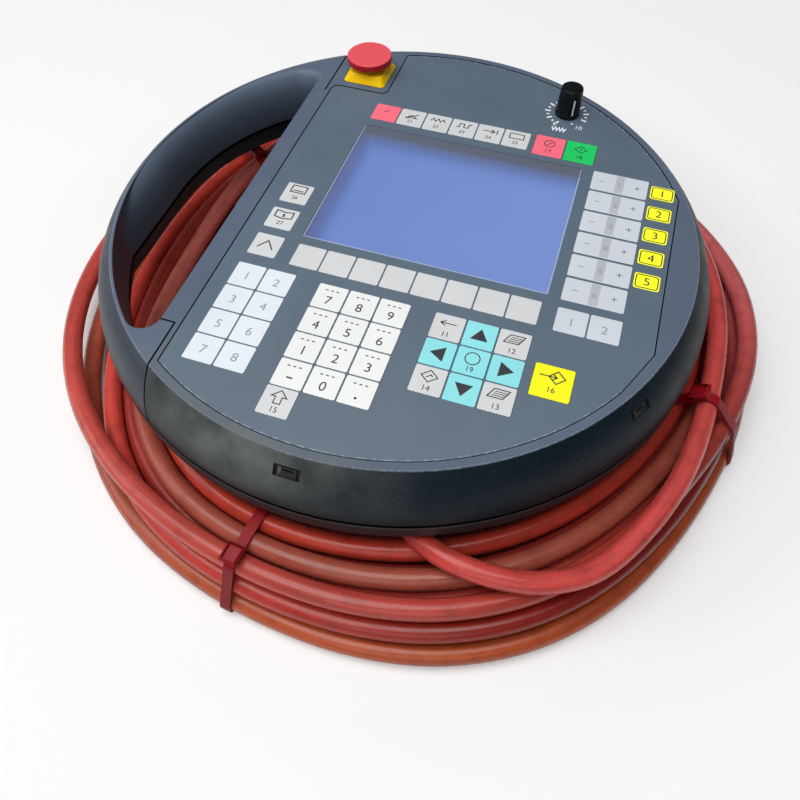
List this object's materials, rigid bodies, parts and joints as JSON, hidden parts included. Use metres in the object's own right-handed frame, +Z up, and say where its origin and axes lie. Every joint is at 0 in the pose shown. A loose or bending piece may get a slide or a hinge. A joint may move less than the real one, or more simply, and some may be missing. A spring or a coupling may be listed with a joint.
{
  "type": "handheld operator terminal",
  "caption": "Round handheld operator terminal with a hand grip, display, membrane keys, stop button, override knob and a coiled red cable.",
  "frame": {"origin": "centre of the round housing, on the flat rear face it rests on", "axes": "+Z up out of the face, +X to the right of the face, +Y to its back"},
  "size_m": [0.356, 0.356, 0.0909],
  "materials": {
    "housing_plastic": "fine texture, satin",
    "seal_rubber": "matte",
    "screw_steel": "plain",
    "foil_slate": "fine texture, satin",
    "board_green": "lacquered",
    "clear_pane": "clear, slightly matt",
    "display_blue": "lit",
    "stop_yellow": "gloss",
    "stop_red": "gloss",
    "stop_dark": "matte",
    "knob_black": "satin",
    "enable_grey": "satin",
    "cable_red": "satin sheath",
    "tie_red": "satin",
    "plug_metal": "satin, nickel plated",
    "key_grey": "satin",
    "key_white": "satin",
    "key_cyan": "satin",
    "key_yellow": "satin",
    "key_red": "satin",
    "key_green": "satin",
    "key_pale_blue": "satin"
  },
  "bodies": {
    "housing": {"front_shell": "housing_plastic", "grip_handle": "housing_plastic", "grip_base": "housing_plastic", "rear_shell": "housing_plastic", "cable_cover": "housing_plastic", "housing_seal": "seal_rubber", "housing_screws": "screw_steel", "keypad_foil": "foil_slate", "keypad_board": "board_green", "key_domes": "screw_steel", "display_window": "clear_pane", "display_module": "display_blue", "display_bracket": "screw_steel", "main_board": "board_green", "stop_collar": "stop_yellow", "stop_spring": "screw_steel", "stop_contact_block": "stop_dark", "override_potentiometer": "stop_dark", "enabling_switch_left": "stop_dark", "enabling_switch_right": "stop_dark", "cable_gland": "knob_black", "cable_lead": "cable_red", "cable_coil": "cable_red", "cable_ties": "tie_red", "cable_plug": "plug_metal", "function_keys": "key_grey", "user_keys": "key_white", "axis_keys": "key_pale_blue"},
    "stop_plunger": {"stop_plunger": "stop_dark"},
    "stop_head": {"stop_head": "stop_red"},
    "override": {"override_knob": "knob_black", "override_shaft": "screw_steel"},
    "enabling_left": {"enabling_button_left": "enable_grey"},
    "enabling_right": {"enabling_button_right": "enable_grey"},
    "coupling_ring": {"plug_coupling_ring": "plug_metal"},
    "key_7": {"key_7": "key_white"},
    "key_8": {"key_8": "key_white"},
    "key_9": {"key_9": "key_white"},
    "key_4": {"key_4": "key_white"},
    "key_5": {"key_5": "key_white"},
    "key_6": {"key_6": "key_white"},
    "key_1": {"key_1": "key_white"},
    "key_2": {"key_2": "key_white"},
    "key_3": {"key_3": "key_white"},
    "key_minus": {"key_minus": "key_white"},
    "key_0": {"key_0": "key_white"},
    "key_point": {"key_point": "key_white"},
    "key_back": {"key_back": "key_grey"},
    "key_up": {"key_up": "key_cyan"},
    "key_page_up": {"key_page_up": "key_grey"},
    "key_left": {"key_left": "key_cyan"},
    "key_select": {"key_select": "key_cyan"},
    "key_right": {"key_right": "key_cyan"},
    "key_insert": {"key_insert": "key_grey"},
    "key_down": {"key_down": "key_cyan"},
    "key_page_down": {"key_page_down": "key_grey"},
    "key_shift": {"key_shift": "key_grey"},
    "key_input": {"key_input": "key_yellow"},
    "key_stop": {"key_stop": "key_red"},
    "key_start": {"key_start": "key_green"}
  },
  "joints": [
    {"name": "stop_push", "type": "slide", "parent": "housing", "child": "stop_plunger", "axis": [0, 0, -1], "range_m": [0, 0.003], "stiffness_N_per_m": 5000, "deforming": ["stop_spring"]},
    {"name": "stop_twist", "type": "hinge", "parent": "stop_plunger", "child": "stop_head", "pos_m": [-0.0522, 0.101, 0.085], "axis": [0, 0, 1], "range_deg": [0, 30], "stiffness_Nm_per_rad": 0.05},
    {"name": "override_turn", "type": "hinge", "parent": "housing", "child": "override", "pos_m": [0.05762, 0.09941, 0.08], "axis": [0, 0, 1], "range_deg": [-135, 135]},
    {"name": "enabling_left_push", "type": "slide", "parent": "housing", "child": "enabling_left", "axis": [1, 0, 0], "range_m": [0, 0.003], "stiffness_N_per_m": 3000},
    {"name": "enabling_right_push", "type": "slide", "parent": "housing", "child": "enabling_right", "axis": [-1, 0, 0], "range_m": [0, 0.003], "stiffness_N_per_m": 3000},
    {"name": "coupling_ring_turn", "type": "hinge", "parent": "housing", "child": "coupling_ring", "pos_m": [0.0481, 0.10556, 0.0098], "axis": [-0.9925, -0.1219, 0], "range_deg": [0, 60]},
    {"name": "key_7_press", "type": "slide", "parent": "housing", "child": "key_7", "axis": [0, 0, -1], "range_m": [0, 0.0004], "stiffness_N_per_m": 4000},
    {"name": "key_8_press", "type": "slide", "parent": "housing", "child": "key_8", "axis": [0, 0, -1], "range_m": [0, 0.0004], "stiffness_N_per_m": 4000},
    {"name": "key_9_press", "type": "slide", "parent": "housing", "child": "key_9", "axis": [0, 0, -1], "range_m": [0, 0.0004], "stiffness_N_per_m": 4000},
    {"name": "key_4_press", "type": "slide", "parent": "housing", "child": "key_4", "axis": [0, 0, -1], "range_m": [0, 0.0004], "stiffness_N_per_m": 4000},
    {"name": "key_5_press", "type": "slide", "parent": "housing", "child": "key_5", "axis": [0, 0, -1], "range_m": [0, 0.0004], "stiffness_N_per_m": 4000},
    {"name": "key_6_press", "type": "slide", "parent": "housing", "child": "key_6", "axis": [0, 0, -1], "range_m": [0, 0.0004], "stiffness_N_per_m": 4000},
    {"name": "key_1_press", "type": "slide", "parent": "housing", "child": "key_1", "axis": [0, 0, -1], "range_m": [0, 0.0004], "stiffness_N_per_m": 4000},
    {"name": "key_2_press", "type": "slide", "parent": "housing", "child": "key_2", "axis": [0, 0, -1], "range_m": [0, 0.0004], "stiffness_N_per_m": 4000},
    {"name": "key_3_press", "type": "slide", "parent": "housing", "child": "key_3", "axis": [0, 0, -1], "range_m": [0, 0.0004], "stiffness_N_per_m": 4000},
    {"name": "key_minus_press", "type": "slide", "parent": "housing", "child": "key_minus", "axis": [0, 0, -1], "range_m": [0, 0.0004], "stiffness_N_per_m": 4000},
    {"name": "key_0_press", "type": "slide", "parent": "housing", "child": "key_0", "axis": [0, 0, -1], "range_m": [0, 0.0004], "stiffness_N_per_m": 4000},
    {"name": "key_point_press", "type": "slide", "parent": "housing", "child": "key_point", "axis": [0, 0, -1], "range_m": [0, 0.0004], "stiffness_N_per_m": 4000},
    {"name": "key_back_press", "type": "slide", "parent": "housing", "child": "key_back", "axis": [0, 0, -1], "range_m": [0, 0.0004], "stiffness_N_per_m": 4000},
    {"name": "key_up_press", "type": "slide", "parent": "housing", "child": "key_up", "axis": [0, 0, -1], "range_m": [0, 0.0004], "stiffness_N_per_m": 4000},
    {"name": "key_page_up_press", "type": "slide", "parent": "housing", "child": "key_page_up", "axis": [0, 0, -1], "range_m": [0, 0.0004], "stiffness_N_per_m": 4000},
    {"name": "key_left_press", "type": "slide", "parent": "housing", "child": "key_left", "axis": [0, 0, -1], "range_m": [0, 0.0004], "stiffness_N_per_m": 4000},
    {"name": "key_select_press", "type": "slide", "parent": "housing", "child": "key_select", "axis": [0, 0, -1], "range_m": [0, 0.0004], "stiffness_N_per_m": 4000},
    {"name": "key_right_press", "type": "slide", "parent": "housing", "child": "key_right", "axis": [0, 0, -1], "range_m": [0, 0.0004], "stiffness_N_per_m": 4000},
    {"name": "key_insert_press", "type": "slide", "parent": "housing", "child": "key_insert", "axis": [0, 0, -1], "range_m": [0, 0.0004], "stiffness_N_per_m": 4000},
    {"name": "key_down_press", "type": "slide", "parent": "housing", "child": "key_down", "axis": [0, 0, -1], "range_m": [0, 0.0004], "stiffness_N_per_m": 4000},
    {"name": "key_page_down_press", "type": "slide", "parent": "housing", "child": "key_page_down", "axis": [0, 0, -1], "range_m": [0, 0.0004], "stiffness_N_per_m": 4000},
    {"name": "key_shift_press", "type": "slide", "parent": "housing", "child": "key_shift", "axis": [0, 0, -1], "range_m": [0, 0.0004], "stiffness_N_per_m": 4000},
    {"name": "key_input_press", "type": "slide", "parent": "housing", "child": "key_input", "axis": [0, 0, -1], "range_m": [0, 0.0004], "stiffness_N_per_m": 4000},
    {"name": "key_stop_press", "type": "slide", "parent": "housing", "child": "key_stop", "axis": [0, 0, -1], "range_m": [0, 0.0004], "stiffness_N_per_m": 4000},
    {"name": "key_start_press", "type": "slide", "parent": "housing", "child": "key_start", "axis": [0, 0, -1], "range_m": [0, 0.0004], "stiffness_N_per_m": 4000}
  ]
}
